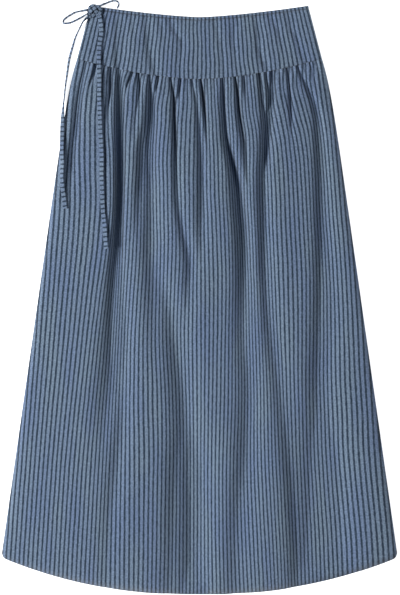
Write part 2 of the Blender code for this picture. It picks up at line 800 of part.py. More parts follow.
def build():
    clear_scene()
    parts = bpy.data.collections.new(COLLECTION)
    bpy.context.scene.collection.children.link(parts)
    cloth = material("striped_cloth", CLOTH_COLOUR)
    tie = material("striped_tie", TIE_COLOUR)
    back_panel("back_skirt", skirt_place, BACK_COLUMNS, BACK_ROWS, cloth)
    back_panel("back_yoke", yoke_place, BACK_COLUMNS, 2, cloth)
    back_panel("back_casing", casing_place, BACK_COLUMNS, 1, cloth)
    front_skirt(cloth)
    front_yoke(cloth)
    front_casing(cloth)
    knot(tie)
    flat_cord("tie_loop_left", LOOP_LEFT, LOOP_STEP, tie)
    flat_cord("tie_loop_right", LOOP_RIGHT, LOOP_STEP, tie)
    flat_cord("tie_tail_left", TAIL_LEFT, TIE_STEP, tie)
    flat_cord("tie_tail_right", TAIL_RIGHT, TIE_STEP, tie)


build()
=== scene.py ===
"""Looks of the maxi skirt, laid out flat with its front up and seen from straight above.

Metres, in the frame of the solids: the surface is z = 0, the waist points to +Y and
the hem to -Y. Every panel follows the form of its solid at a finer step and carries
its own place in the cloth as UV, so that the stripes run with the cloth and close up
in the folds.
"""

import math
import random
from collections import namedtuple

import bpy
import numpy as np
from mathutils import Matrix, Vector


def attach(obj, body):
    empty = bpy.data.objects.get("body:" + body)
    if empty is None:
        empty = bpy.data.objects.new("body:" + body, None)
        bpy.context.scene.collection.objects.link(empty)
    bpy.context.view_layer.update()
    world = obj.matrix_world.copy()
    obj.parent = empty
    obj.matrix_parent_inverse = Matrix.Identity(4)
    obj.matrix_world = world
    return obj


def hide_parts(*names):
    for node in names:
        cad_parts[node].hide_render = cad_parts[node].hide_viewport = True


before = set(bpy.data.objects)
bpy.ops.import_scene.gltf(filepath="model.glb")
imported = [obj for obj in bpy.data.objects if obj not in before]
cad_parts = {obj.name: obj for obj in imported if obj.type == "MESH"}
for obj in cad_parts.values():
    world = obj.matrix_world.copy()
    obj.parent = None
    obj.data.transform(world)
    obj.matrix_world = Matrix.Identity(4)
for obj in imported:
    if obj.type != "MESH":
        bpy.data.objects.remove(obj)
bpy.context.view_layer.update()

MM = 0.001

# Walls and seams, as on the solids, and the thinner wall of the front's cloth
WALL = 0.0012
GAP = 0.0003
FRONT_WALL = WALL * 0.9

# Outline, the same named sizes as the solids
WAIST_HALF = 0.1735
WAIST_MIDDLE = 0.4520
WAIST_RISE = 0.0185
WAIST_POWER = 1.4
YOKE_END = 0.3855
YOKE_HALF = 0.1957
YOKE_RISE = 0.0335
YOKE_POWER = 1.7
HEM_MIDDLE = -0.4705
HEM_RISE = 0.0590
HEM_POWER = 2.2
HEM_CORNER = 0.007
CASING_WIDTH = 0.0045
CASING_SWELL = 0.0012
FLARE = 0.1425
FLARE_HALF_AT_YOKE = YOKE_HALF + 0.0077
PINCH = FLARE_HALF_AT_YOKE - YOKE_HALF
PINCH_LENGTH = 0.042

# Loft of the front above the back, with its rows in millimetres
EDGE_HEIGHT = 2 * WALL + GAP
EDGE_FADE = 0.004
SETTLE_SOFTNESS = 0.0012
SIDE_ROLL = 0.004
SIDE_STEP = 0.3
DOME_POWER = 2.8
HEM_STEP = 0.3
HEM_ROLL = 0.022
LoftRow = namedtuple("LoftRow", "y height")
LOFT = (
    LoftRow(470, 3.4),
    LoftRow(430, 6.0),
    LoftRow(372, 9.5),
    LoftRow(330, 15.0),
    LoftRow(240, 21.0),
    LoftRow(120, 22.0),
    LoftRow(0, 19.0),
    LoftRow(-160, 21.0),
    LoftRow(-320, 25.0),
    LoftRow(-475, 20.0),
)

# Folds, in millimetres: height on the skirt, place of the shaded left bank, depth, the reach of the
# left and right banks, and the cloth that the fold hides
FoldRow = namedtuple("FoldRow", "y x depth left right held")
FOLD_POWER = 1.8
FOLD_CRISP = 2.4
FOLD_NARROW = 0.005
FOLD_WIDE = 0.009
FOLD_DEEP = 0.014
FOLD_LEAN = 0.6
FOLD_END = 0.020
SKIRT_FOLDS = {
    "left_outer": (
        FoldRow(377, -182, 3, 2, 2, 3),
        FoldRow(344, -190, 11, 4, 3, 7),
        FoldRow(310, -195, 14, 5, 4, 9),
        FoldRow(275, -199, 12, 6, 5, 8),
        FoldRow(240, -205, 9, 6, 6, 6),
        FoldRow(200, -208, 6, 7, 8, 4),
        FoldRow(160, -212, 0, 7, 8, 0),
    ),
    "left_side_short": (
        FoldRow(372, -166, 4, 2.5, 2, 3),
        FoldRow(360, -170, 5, 3, 2, 3),
        FoldRow(333, -180, 0, 3, 2, 0),
    ),
    "left_thin": (
        FoldRow(372, -142, 6, 2.5, 2, 4),
        FoldRow(356, -143, 9, 3, 2, 5),
        FoldRow(330, -144, 8, 3, 2, 5),
        FoldRow(300, -148, 4, 3, 3, 4),
        FoldRow(206, -153, 0, 5, 4, 0),
    ),
    "left_deep": (
        FoldRow(369, -129, 9, 3, 3, 9),
        FoldRow(352, -131, 20, 4.5, 5, 14),
        FoldRow(320, -131, 24, 6, 7, 22),
        FoldRow(256, -131, 24, 6.5, 7, 28),
        FoldRow(192, -131, 24, 6.5, 7, 30),
        FoldRow(128, -133, 24, 6.5, 7, 28),
        FoldRow(64, -137, 22, 8, 9, 24),
        FoldRow(0, -140, 17, 11, 12, 19),
        FoldRow(-64, -144, 13, 16, 16, 14),
        FoldRow(-128, -152, 9, 17, 18, 9),
        FoldRow(-208, -160, 4, 16, 14, 4),
        FoldRow(-280, -166, 0, 14, 14, 0),
    ),
    "left_deep_roll": (
        FoldRow(300, -130, 0, 8, 9, 0),
        FoldRow(200, -130, 3, 9, 13, 0),
        FoldRow(100, -132, 5, 12, 16, 0),
        FoldRow(0, -136, 8, 20, 20, 0),
        FoldRow(-96, -143, 6, 22, 20, 0),
        FoldRow(-220, -165, 0, 20, 18, 0),
    ),
    "beside_deep": (
        FoldRow(364, -108, 5, 2, 3, 5),
        FoldRow(352, -113, 6, 2.5, 3, 5),
        FoldRow(331, -120, 2.5, 2.5, 3, 2),
        FoldRow(310, -125, 0, 2, 3, 0),
    ),
    "inner_short": (
        FoldRow(359, -98, 6, 2.5, 2.5, 4),
        FoldRow(345, -97, 9, 3, 2.5, 5),
        FoldRow(318, -99, 5, 3, 3, 3),
        FoldRow(291, -103, 3.5, 3, 3, 2),
        FoldRow(252, -107, 0, 3, 3, 0),
    ),
    "inner_left": (
        FoldRow(280, -92, 0, 3, 3, 0),
        FoldRow(240, -96, 8, 6, 6, 5),
        FoldRow(200, -98, 9, 7, 9, 5),
        FoldRow(160, -100, 7, 8, 10, 4),
        FoldRow(88, -103, 0, 8, 10, 0),
    ),
    "inner_hollow": (
        FoldRow(340, -79, 0, 6, 3, 0),
        FoldRow(287, -81, 7, 9, 4, 2),
        FoldRow(216, -82, 5, 11, 6, 2),
        FoldRow(88, -82, 0, 12, 8, 0),
    ),
    "left_inner": (
        FoldRow(356, -80, 6, 2.5, 2.5, 6),
        FoldRow(336, -81, 11, 4, 5, 8),
        FoldRow(300, -81, 15, 7, 8, 11),
        FoldRow(256, -84, 15, 10, 10, 13),
        FoldRow(200, -85, 14, 12, 13, 13),
        FoldRow(128, -84, 13, 14, 16, 12),
        FoldRow(64, -84, 11, 15, 18, 8),
        FoldRow(0, -82, 8, 15, 18, 4),
        FoldRow(-56, -80, 4, 14, 16, 2),
        FoldRow(-130, -78, 0, 12, 12, 0),
    ),
    "inner_right": (
        FoldRow(351, -67, 6, 2, 2.5, 3),
        FoldRow(326, -73, 8, 3.5, 3, 4),
        FoldRow(280, -78, 7, 4, 4, 4),
        FoldRow(231, -81, 4, 5, 5, 2),
        FoldRow(183, -81, 0, 5, 5, 0),
    ),
    "middle_left": (
        FoldRow(352, -47, 5, 2.5, 2.5, 5),
        FoldRow(325, -43, 11, 3, 3, 6),
        FoldRow(290, -42, 14, 4, 3, 7),
        FoldRow(250, -41, 12, 4.5, 4, 7),
        FoldRow(200, -40, 9, 5, 6, 6),
        FoldRow(150, -37, 8, 6, 8, 6),
        FoldRow(110, -30, 8, 7, 9, 5),
        FoldRow(64, -20, 8, 8, 11, 4),
        FoldRow(0, -23, 5, 9, 12, 2.5),
        FoldRow(-72, -28, 0, 9, 12, 0),
    ),
    "middle_short": (
        FoldRow(350, -31, 6, 2.5, 2, 4),
        FoldRow(338, -33, 7, 3, 2, 3.5),
        FoldRow(309, -36, 0, 2.5, 2.5, 0),
    ),
    "middle": (
        FoldRow(349, -14, 3, 2.5, 2.5, 5),
        FoldRow(325, -8, 5, 4, 4, 6),
        FoldRow(288, -4, 7, 5, 4, 6),
        FoldRow(240, -1, 9, 6, 6, 6),
        FoldRow(192, 0, 10, 7, 7, 6),
        FoldRow(140, 0, 9, 8, 9, 5),
        FoldRow(90, -1, 5, 8, 10, 3),
        FoldRow(24, -2, 0, 8, 10, 0),
    ),
    "middle_right": (
        FoldRow(352, 1, 6, 2, 2, 5),
        FoldRow(336, 3, 12, 3, 2, 5),
        FoldRow(305, 6, 13, 3.5, 2.5, 5),
        FoldRow(279, 8, 9, 4, 3, 3),
        FoldRow(224, 14, 0, 3, 3, 0),
    ),
    "right_deep": (
        FoldRow(351, 36, 5, 3, 2.5, 6),
        FoldRow(325, 36, 10, 4.5, 3.5, 7),
        FoldRow(290, 37, 12, 6, 4.5, 9),
        FoldRow(256, 40, 14, 7, 5, 10),
        FoldRow(224, 47, 17, 8, 6, 12),
        FoldRow(192, 54, 21, 10, 7, 15),
        FoldRow(144, 60, 23, 12, 8, 18),
        FoldRow(96, 64, 22, 12, 9, 18),
        FoldRow(48, 65, 18, 13, 10, 16),
        FoldRow(0, 64, 14, 14, 14, 14),
        FoldRow(-64, 63, 9, 14, 16, 11),
        FoldRow(-128, 70, 9, 16, 18, 10),
        FoldRow(-192, 68, 11, 17, 20, 10),
        FoldRow(-256, 64, 12, 18, 24, 10),
        FoldRow(-320, 55, 11, 18, 28, 8),
        FoldRow(-384, 50, 9, 18, 28, 5),
        FoldRow(-474, 48, 5, 18, 28, 3),
    ),
    "right_branch": (
        FoldRow(354, 56, 7, 2.5, 2, 5),
        FoldRow(330, 59, 12, 3.5, 2.5, 6),
        FoldRow(300, 61, 13, 4.5, 3, 6),
        FoldRow(268, 66, 10, 5, 3.5, 5.5),
        FoldRow(236, 71, 7, 5, 4, 4),
        FoldRow(200, 74, 4, 5, 4, 3),
        FoldRow(160, 76, 0, 5, 4, 0),
    ),
    "right_patch": (
        FoldRow(355, 70, 5, 4, 3, 4),
        FoldRow(340, 71, 5, 4, 3, 3),
        FoldRow(314, 74, 0, 4, 3, 0),
    ),
    "right_inner_left": (
        FoldRow(359, 94, 6, 3, 2.5, 5),
        FoldRow(322, 97, 8, 4, 3, 5),
        FoldRow(280, 101, 10, 5, 5, 6),
        FoldRow(230, 99, 12, 7, 7, 8),
        FoldRow(192, 97, 13, 8, 9, 9),
        FoldRow(128, 98, 13, 9, 11, 10),
        FoldRow(64, 99, 12, 10, 14, 10),
        FoldRow(0, 102, 10, 11, 17, 9),
        FoldRow(-64, 109, 8, 12, 20, 8),
        FoldRow(-128, 119, 7, 13, 24, 8),
        FoldRow(-192, 129, 8, 14, 36, 9),
        FoldRow(-256, 138, 10, 14, 46, 10),
        FoldRow(-320, 144, 10, 14, 50, 11),
        FoldRow(-384, 148, 9, 14, 50, 10),
        FoldRow(-474, 150, 7, 14, 44, 8),
    ),
    "right_inner": (
        FoldRow(365, 114, 9, 3, 2, 6),
        FoldRow(345, 114, 14, 5, 3, 7),
        FoldRow(320, 113, 16, 6.5, 4.5, 7),
        FoldRow(290, 110, 14, 8, 6, 5),
        FoldRow(253, 106, 9, 8, 8, 3),
        FoldRow(213, 104, 0, 8, 8, 0),
    ),
    "right_inner_mid": (
        FoldRow(356, 105, 5, 2.5, 2.5, 3),
        FoldRow(320, 108, 9, 3.5, 3.5, 5),
        FoldRow(280, 106, 10, 4, 4, 5),
        FoldRow(240, 105, 7, 4, 5, 3),
        FoldRow(196, 105, 0, 4, 5, 0),
    ),
    "right_mid_thin": (
        FoldRow(367, 139, 4, 3, 2.5, 4),
        FoldRow(340, 142, 6, 3, 2, 5),
        FoldRow(305, 144, 7, 3.5, 2.5, 5),
        FoldRow(280, 145, 4, 3.5, 2.5, 4),
        FoldRow(253, 147, 0, 3, 2, 0),
    ),
    "right_outer": (
        FoldRow(371, 156, 4, 2.5, 2, 4),
        FoldRow(350, 166, 10, 4, 2.5, 6),
        FoldRow(330, 175, 11, 6, 3, 7),
        FoldRow(304, 184, 11, 7, 5, 9),
        FoldRow(270, 187, 12, 8, 7, 10),
        FoldRow(224, 189, 13, 9, 10, 12),
        FoldRow(160, 190, 14, 10, 13, 13),
        FoldRow(96, 191, 14, 11, 17, 13),
        FoldRow(32, 191, 14, 13, 22, 12),
        FoldRow(-32, 189, 14, 15, 26, 11),
        FoldRow(-80, 186, 14, 17, 26, 11),
        FoldRow(-128, 182, 14, 19, 26, 12),
        FoldRow(-176, 180, 15, 22, 30, 13),
        FoldRow(-224, 180, 18, 26, 36, 13),
        FoldRow(-272, 181, 20, 30, 40, 14),
        FoldRow(-320, 181, 20, 32, 42, 14),
        FoldRow(-384, 179, 19, 31, 42, 13),
        FoldRow(-474, 178, 13, 28, 40, 11),
    ),
    "left_low": (
        FoldRow(8, -121, 0, 8, 8, 0),
        FoldRow(-56, -126, 6, 11, 12, 4),
        FoldRow(-128, -129, 8, 13, 14, 7),
        FoldRow(-192, -131, 9, 14, 14, 8),
        FoldRow(-256, -137, 8, 14, 14, 8),
        FoldRow(-320, -146, 6, 14, 14, 7),
        FoldRow(-384, -151, 4, 14, 14, 4),
        FoldRow(-474, -154, 1, 12, 12, 1),
    ),
    "inner_deep_low": (
        FoldRow(64, -76, 0, 12, 12, 0),
        FoldRow(0, -59, 10, 15, 20, 4),
        FoldRow(-64, -49, 14, 18, 24, 10),
        FoldRow(-128, -39, 15, 20, 24, 15),
        FoldRow(-192, -33, 15, 20, 22, 15),
        FoldRow(-256, -44, 11, 18, 40, 14),
        FoldRow(-320, -48, 10, 16, 46, 13),
        FoldRow(-384, -50, 8, 16, 46, 10),
        FoldRow(-474, -54, 6, 16, 40, 6),
    ),
    "inner_low": (
        FoldRow(-190, -16, 0, 12, 20, 0),
        FoldRow(-230, -18, 12, 16, 26, 7),
        FoldRow(-264, -18, 18, 20, 28, 10),
        FoldRow(-320, -18, 19, 20, 28, 11),
        FoldRow(-384, -19, 18, 20, 28, 10),
        FoldRow(-474, -21, 12, 18, 26, 6),
    ),
}
YOKE_FOLDS = {
    "over_left_deep": (
        FoldRow(452, -132, 3, 5, 8, 0),
        FoldRow(429, -130, 6.5, 6, 9, 0),
        FoldRow(403, -132, 7, 6, 10, 0),
        FoldRow(375, -132, 7, 6, 10, 0),
    ),
    "over_left_thin": (
        FoldRow(450, -110, 1.5, 4, 4, 0),
        FoldRow(438, -109, 1.5, 4, 4, 0),
        FoldRow(415, -106, 0, 4, 4, 0),
    ),
    "over_left_inner": (
        FoldRow(450, -87, 2, 5, 6, 0),
        FoldRow(429, -85, 4.5, 6, 8, 0),
        FoldRow(403, -84, 4.5, 6, 8, 0),
        FoldRow(385, -80, 4, 7, 8, 0),
        FoldRow(366, -75, 3, 7, 8, 0),
    ),
    "over_left_short": (
        FoldRow(448, -66, 1.2, 4, 4, 0),
        FoldRow(429, -61, 1.2, 4, 4, 0),
        FoldRow(410, -60, 0, 4, 4, 0),
    ),
    "over_middle": (
        FoldRow(448, -48, 2, 5, 5, 0),
        FoldRow(433, -44, 3.4, 5, 6, 0),
        FoldRow(412, -31, 3.2, 6, 7, 0),
        FoldRow(390, -35, 2, 7, 7, 0),
        FoldRow(365, -36, 0.8, 8, 8, 0),
    ),
    "over_middle_right": (
        FoldRow(446, 22, 1.8, 5, 5, 0),
        FoldRow(425, 27, 2, 5, 5, 0),
        FoldRow(400, 33, 1.4, 6, 6, 0),
        FoldRow(378, 34, 1.6, 5, 5, 0),
        FoldRow(360, 36, 0.6, 6, 6, 0),
    ),
    "over_right_deep": (
        FoldRow(446, 56, 1.2, 6, 5, 0),
        FoldRow(425, 51, 2.6, 6, 5, 0),
        FoldRow(403, 52, 2.4, 6, 6, 0),
        FoldRow(378, 54, 1.2, 7, 7, 0),
        FoldRow(365, 58, 0.6, 8, 8, 0),
    ),
    "over_right_inner": (
        FoldRow(450, 88, 2, 5, 6, 0),
        FoldRow(429, 92, 4.2, 6, 7, 0),
        FoldRow(403, 92, 4.2, 6, 7, 0),
        FoldRow(378, 100, 3.4, 6, 7, 0),
        FoldRow(366, 104, 2, 7, 7, 0),
    ),
    "over_right_thin": (
        FoldRow(455, 110, 1.4, 5, 4, 0),
        FoldRow(429, 124, 2, 5, 5, 0),
        FoldRow(403, 129, 1, 6, 6, 0),
        FoldRow(385, 130, 0, 6, 6, 0),
    ),
    "over_right_outer": (
        FoldRow(455, 141, 1.5, 5, 5, 0),
        FoldRow(432, 146, 2.4, 5, 5, 0),
        FoldRow(410, 156, 2.2, 6, 6, 0),
        FoldRow(390, 161, 1.8, 7, 7, 0),
        FoldRow(372, 174, 2, 6, 6, 0),
    ),
}

# Gathers between the folds: places along the yoke seam, in millimetres
GATHERS = (
    -182, -174, -165, -152, -142, -132, -121, -109, -98, -88, -81, -67, -57, -46, -31, -20, -12, 1,
    13, 24, 36, 46, 56, 70, 81, 94, 105, 115, 127, 139, 148, 156, 167, 177, 186,
)
GATHER_DEPTH = 0.0022
GATHER_REACH = 0.0022
GATHER_FADE = 0.022
GATHER_PUFF = 0.0012
PUFF_START = 0.004
PUFF_FADE = 0.02
GATHER_HELD = 0.0028
GATHER_STEP = GATHER_REACH * 0.5
GATHER_SEED = 7
DEPTH_SPREAD = (0.6, 1.3)
FADE_SPREAD = (0.6, 1.7)

# Small ripples of the yoke, drawn up by the cord
RIPPLES = 28
RIPPLE_DEPTH = 0.0007
RIPPLE_FADE = 0.012

# Stripes of the cloth and of the tie
STRIPE_PITCH = 0.00745
STRIPE_HALF = 0.00155
STRIPE_EDGE = 0.0006
STRIPE_DRIFT = 0.0003
STRIPE_SLUB = 0.0006
TIE_STRIPE_HALF = 0.0012
TIE_STRIPE_SHIFT = 0.002

# The cut of each panel: its width as a count of stripes, for the skirt at its top and at its hem, and
# for the yoke
SKIRT_CUT_TOP = 80 * STRIPE_PITCH
SKIRT_CUT_HEM = 95 * STRIPE_PITCH
YOKE_CUT = 56 * STRIPE_PITCH

# How the skirt's cloth is shared out: cloth shown for each metre at the top and at the hem, places
# across the skirt that keep a set share of the cut, and how wide a fold hides its cloth
SHOWN_TOP = 1.035
SHOWN_HEM = 0.95
CLOTH_ANCHORS = np.array([-1.0, -0.5, 0.0, 0.5, 1.0])
CLOTH_SHARES = np.array([-0.5, -0.26, -0.01, 0.27, 0.5])
CLOTH_EASINGS = 14
HELD_LEAD = 0.4
HELD_WIDE = 0.030
HELD_REACH = (0.4, 0.7)

# Sway of the laid cloth's threads: how far, how long down the skirt, how wide across it
SwayRow = namedtuple("SwayRow", "far down across")
SWAYS = (
    SwayRow(0.0005, 0.083, 0.131),
    SwayRow(0.0003, 0.047, -0.083),
)
SWAY_FADE = 0.18

# Fine steps of the panels
SKIRT_COLUMNS = 440
SKIRT_ROWS = 96
SKIRT_ROW_POWER = 1.5
SEAM_TUCK = 0.0009
SEAM_DROP = 0.0005
SEAM_ROLL = 0.0003
YOKE_COLUMNS = 300
YOKE_ROWS = 30
CASING_COLUMNS = 300
CASING_ROWS = 6
BACK_COLUMNS = 60
BACK_ROWS = 30

# Tie: routes in millimetres, with the turn about the route in degrees, 0 on edge and 90 flat
TIE_WIDTH = 0.007
TIE_THICKNESS = 0.0020
TIE_STEP = 0.015
LOOP_STEP = 0.0055
FINE_STEP = 0.0014
TIE_LEAD = 0.0025
ROUTE_PROBES = 4
RouteRow = namedtuple("RouteRow", "x y turn")
LOOP_LEFT = (
    RouteRow(-176.8, 462.8, 15),
    RouteRow(-189, 461.6, 0),
    RouteRow(-198, 459.8, 0),
    RouteRow(-205, 456.2, 0),
    RouteRow(-212, 451.8, 0),
    RouteRow(-217.5, 446.2, 0),
    RouteRow(-217.9, 442.6, 0),
    RouteRow(-213, 441.6, 0),
    RouteRow(-205, 443.5, 0),
    RouteRow(-197.5, 447.0, 0),
    RouteRow(-189, 451.6, 0),
    RouteRow(-177.0, 458.2, 15),
)
LOOP_RIGHT = (
    RouteRow(-160.3, 467.8, 0),
    RouteRow(-154.5, 471.6, 0),
    RouteRow(-148.5, 474.6, 0),
    RouteRow(-142.5, 476.9, 0),
    RouteRow(-136.8, 478.2, 0),
    RouteRow(-131.8, 477.2, 0),
    RouteRow(-129.0, 474.0, 0),
    RouteRow(-129.4, 470.2, 0),
    RouteRow(-132.0, 466.4, 0),
)
TAIL_LEFT = (
    RouteRow(-175.2, 454.3, 20),
    RouteRow(-185.9, 444, 0),
    RouteRow(-190.2, 436.5, 0),
    RouteRow(-194.6, 428, -10),
    RouteRow(-198.2, 420, -15),
    RouteRow(-202.2, 406.7, -20),
    RouteRow(-208.3, 384, -25),
    RouteRow(-211.5, 362.4, -20),
    RouteRow(-214.7, 338.9, -10),
    RouteRow(-216.8, 316, -10),
    RouteRow(-218.4, 289.6, -50),
    RouteRow(-219.0, 262.4, -85),
    RouteRow(-219.2, 240, -65),
    RouteRow(-218.2, 214.4, -50),
    RouteRow(-219.0, 198.4, -50),
    RouteRow(-218.4, 182.4, -70),
    RouteRow(-216.0, 165, -85),
    RouteRow(-213.6, 145.6, -85),
)
TAIL_RIGHT = (
    RouteRow(-159.2, 451.5, -75),
    RouteRow(-156.9, 436, -82),
    RouteRow(-156.6, 425.6, -85),
    RouteRow(-159.0, 411.2, -88),
    RouteRow(-160.3, 392, -88),
    RouteRow(-160.0, 371.2, -84),
    RouteRow(-159.2, 352, -75),
    RouteRow(-159.4, 329.6, -72),
    RouteRow(-158.6, 300.8, -75),
    RouteRow(-157.8, 276, -86),
    RouteRow(-156.2, 248, -84),
    RouteRow(-155.1, 224, -76),
    RouteRow(-155.4, 200, -76),
    RouteRow(-154.5, 172, -84),
    RouteRow(-153.0, 140, -84),
    RouteRow(-150.0, 112, -74),
    RouteRow(-148.8, 92, -68),
    RouteRow(-147.8, 81.6, -68),
)

# Knot: bands of the same cord round its centre, with their middle lines in millimetres
KNOT_CENTRE = (-0.1672, 0.4608)
KNOT_REACH = 0.006
BAND_WIDTH = TIE_WIDTH * 0.64
BAND_THICKNESS = TIE_THICKNESS * 1.2
BAND_RINGS = 26
BAND_SHIFT = 0.003
Band = namedtuple("Band", "name turn points")
KNOT_BANDS = (
    Band("over", 75, ((-178, 457.5, 2.5), (-172, 461.5, 5.2), (-166, 465.5, 5.6), (-160, 468.5, 3.4))),
    Band("upper", 60, (
        (-176, 462, 2), (-175, 467, 2.6), (-170, 470, 3), (-165, 468.5, 2.8), (-163, 464, 2.2),
    )),
    Band("lower", 60, (
        (-165, 459.5, 2.5), (-169, 454.5, 3.2), (-175, 452.5, 3.2), (-177.5, 456, 2.8), (-172, 459, 2.5),
    )),
    Band("right", 70, (
        (-168, 468, 2.6), (-161, 468, 3.4), (-158, 462, 3.4), (-160.5, 456, 3), (-165, 455, 2),
    )),
    Band("under", 70, ((-171, 466, 1.8), (-164, 460, 3), (-159.5, 453, 2))),
)

# Camera: straight above, with a long lens, framed as the photo is
CAMERA_MIDDLE = (0.0008, 0.004)
CAMERA_LONG_SIDE = 0.952
CAMERA_LENS = 100.0
CAMERA_SENSOR = 36.0


def camera():
    data = bpy.data.cameras.new("camera")
    data.lens = CAMERA_LENS
    data.sensor_width = CAMERA_SENSOR
    data.clip_end = 20.0
    made = bpy.data.objects.new("camera", data)
    bpy.context.scene.collection.objects.link(made)
    away = CAMERA_LONG_SIDE * CAMERA_LENS / CAMERA_SENSOR
    made.location = (*CAMERA_MIDDLE, away)
    bpy.context.scene.camera = made


def smooth_read(at, keys, values):
    """Read a smooth curve through (keys, values), keys rising, held level past its ends."""
    keys = np.asarray(keys, dtype=float)
    values = np.asarray(values, dtype=float)
    slopes = np.gradient(values, keys)
    at = np.clip(at, keys[0], keys[-1])
    span = np.clip(np.searchsorted(keys, at, side="right") - 1, 0, len(keys) - 2)
    width = keys[span + 1] - keys[span]
    t = (at - keys[span]) / width
    rise = t * t * (3 - 2 * t)
    lead = t * (1 - t) ** 2 * slopes[span] * width
    trail = t * t * (1 - t) * slopes[span + 1] * width
    return values[span] * (1 - rise) + values[span + 1] * rise + lead - trail


def waist_line(x):
    return WAIST_MIDDLE + WAIST_RISE * np.abs(x / WAIST_HALF) ** WAIST_POWER


def yoke_line(x):
    return YOKE_END - YOKE_RISE * (1 - np.abs(x / YOKE_HALF) ** YOKE_POWER)


def side_half(y):
    """Half width of the outline at a height of its side edge."""
    waist_end = WAIST_MIDDLE + WAIST_RISE
    part = np.clip((waist_end - y) / (waist_end - YOKE_END), 0, 1)
    yoke = WAIST_HALF + (YOKE_HALF - WAIST_HALF) * part
    drop = np.maximum(YOKE_END - y, 0)
    skirt = FLARE_HALF_AT_YOKE + FLARE * drop - PINCH * np.exp(-drop / PINCH_LENGTH)
    return np.where(y > YOKE_END, yoke, skirt)


HEM_END = HEM_MIDDLE + HEM_RISE
HEM_HALF = float(side_half(np.array(HEM_END)))


def hem_line(x):
    line = HEM_MIDDLE + HEM_RISE * np.abs(x / HEM_HALF) ** HEM_POWER
    past = np.clip(np.abs(x) - (HEM_HALF - HEM_CORNER), 0, HEM_CORNER)
    return line + HEM_CORNER - np.sqrt(HEM_CORNER ** 2 - past ** 2)


def skirt_place(u, v):
    """Place on the skirt and half width there: u -1 to 1 across, v 0 at the yoke to 1 at the hem."""
    edge_y = YOKE_END + (HEM_END + HEM_CORNER - YOKE_END) * v
    half = side_half(edge_y)
    top = yoke_line(u * YOKE_HALF) - GAP / 2
    return u * half, top + (hem_line(u * HEM_HALF) - top) * v, half


def yoke_place(u, v):
    """Place on the yoke and half width there, v from 0 under the casing to 1 at the yoke seam."""
    edge_y = WAIST_MIDDLE + WAIST_RISE - CASING_WIDTH - GAP
    edge_y = edge_y + (YOKE_END - edge_y) * v
    half = side_half(edge_y)
    top = waist_line(u * WAIST_HALF) - CASING_WIDTH - GAP
    return u * half, top + (yoke_line(u * YOKE_HALF) + GAP / 2 - top) * v, half


def casing_place(u, v):
    """Place on the casing and half width there, v from 0 at the waist edge to 1 beside the yoke."""
    half = side_half(WAIST_MIDDLE + WAIST_RISE - CASING_WIDTH * v)
    return u * half, waist_line(u * WAIST_HALF) - CASING_WIDTH * v, half


def fold_at(y, rows):
    """A fold's bottom, depth, reach of its two banks and hidden cloth at a height."""
    rows = sorted(rows)
    keys = [row.y * MM for row in rows]
    columns = ([row[k] * MM for row in rows] for k in range(1, len(FoldRow._fields)))
    middle, depth, left, right, held = (smooth_read(y, keys, column) for column in columns)
    ends = np.clip((keys[-1] - y) / FOLD_END + 1, 0, 1) * np.clip((y - keys[0]) / FOLD_END + 1, 0, 1)
    return middle + FOLD_LEAN * left, np.maximum(depth, 0) * ends, left, right, np.maximum(held, 0)


def trough(x, y, rows):
    """Depth of one fold at a place. A narrow deep one has steep banks and a flat bottom."""
    middle, depth, left, right, _ = fold_at(y, rows)
    away = x - middle
    narrow = np.clip((FOLD_WIDE - (left + right) / 2) / (FOLD_WIDE - FOLD_NARROW), 0, 1)
    deep = np.clip((depth - FOLD_DEEP) / FOLD_NARROW, 0, 1)
    power = FOLD_POWER + FOLD_CRISP * narrow * deep
    return depth * np.exp(-np.abs(away / np.where(away < 0, left, right)) ** power)


def loft(x, y, half):
    """Outer face of the front between its folds, falling to the back at the side seams."""
    rows = sorted(LOFT)
    height = smooth_read(y, [row.y * MM for row in rows], [row.height * MM for row in rows])
    inward = np.maximum(half - np.abs(x), 0)
    near = SIDE_STEP * (1 - np.exp(-inward / SIDE_ROLL))
    dome = (1 - SIDE_STEP) * (1 - np.minimum(np.abs(x) / half, 1) ** DOME_POWER)
    upward = np.maximum(y - hem_line(np.clip(x, -HEM_HALF, HEM_HALF)), 0)
    hem = HEM_STEP + (1 - HEM_STEP) * (1 - np.exp(-upward / HEM_ROLL))
    return EDGE_HEIGHT + (height - EDGE_HEIGHT) * (near + dome) * hem


def settle(height):
    """Keep the outer face above the back: folds that would reach it lie on it."""
    over = (height - EDGE_HEIGHT) / SETTLE_SOFTNESS
    raised = np.logaddexp(0, over) - math.log(2) * np.exp(-np.abs(over))
    return EDGE_HEIGHT + SETTLE_SOFTNESS * raised


def gather_rows():
    """Each gather's place as u, its depth and its length down the skirt."""
    draw = random.Random(GATHER_SEED)
    rows = []
    for place in GATHERS:
        depth = GATHER_DEPTH * draw.uniform(*DEPTH_SPREAD)
        fade = GATHER_FADE * draw.uniform(*FADE_SPREAD)
        rows.append((place * MM / YOKE_HALF, depth, fade))
    return rows


GATHER_ROWS = gather_rows()


def gathers(u, drop):
    """Relief of the gathers: a narrow trough at each, puffed between them, fading downwards."""
    relief = GATHER_PUFF * (1 - np.exp(-drop / PUFF_START)) * np.exp(-drop / PUFF_FADE)
    for place, depth, fade in GATHER_ROWS:
        away = (u - place) * YOKE_HALF / GATHER_REACH
        relief = relief - depth * np.exp(-drop / fade) * np.exp(-away ** 2)
    return relief


def skirt_height(x, y, half):
    """Outer face of the front skirt, in metres above the surface."""
    drop = np.maximum(yoke_line(x / half * YOKE_HALF) - y, 0)
    height = loft(x, y, half) + gathers(x / half, drop)
    for rows in SKIRT_FOLDS.values():
        height = height - trough(x, y, rows)
    edge = np.clip((half - np.abs(x)) / EDGE_FADE, 0, 1)
    return EDGE_HEIGHT + (settle(height) - EDGE_HEIGHT) * edge


